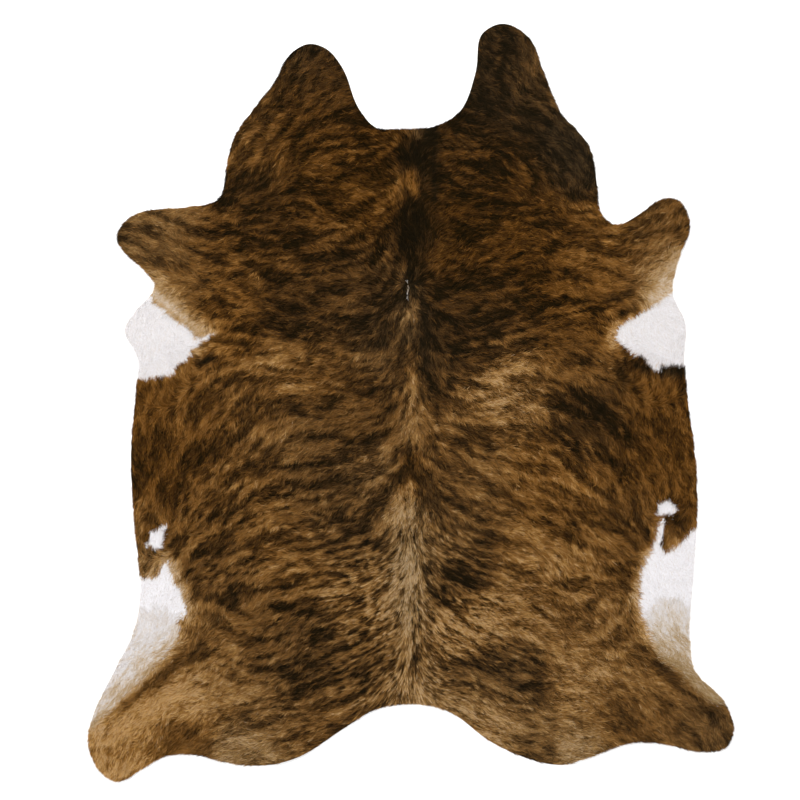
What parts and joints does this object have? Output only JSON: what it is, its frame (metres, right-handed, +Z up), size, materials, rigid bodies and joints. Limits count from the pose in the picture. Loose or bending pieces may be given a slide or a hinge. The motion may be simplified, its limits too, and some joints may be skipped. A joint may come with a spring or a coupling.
{
  "type": "cowhide rug",
  "caption": "Flat hair-on cowhide rug in a brindle coat, with neck lobes, fore and hind legs and white belly patches.",
  "frame": {"origin": "on the floor under the middle of the rug's box", "axes": "+Y along the back towards the neck, +Z up out of the hair side, +X to the right as the rug is looked down on with the neck at the top"},
  "size_m": [1.8432, 2.164, 0.0082],
  "materials": {
    "hide": "short brindle hair on the upper side, brushed suede on the underside"
  },
  "bodies": {
    "root": {"hide": "hide"}
  },
  "joints": []
}
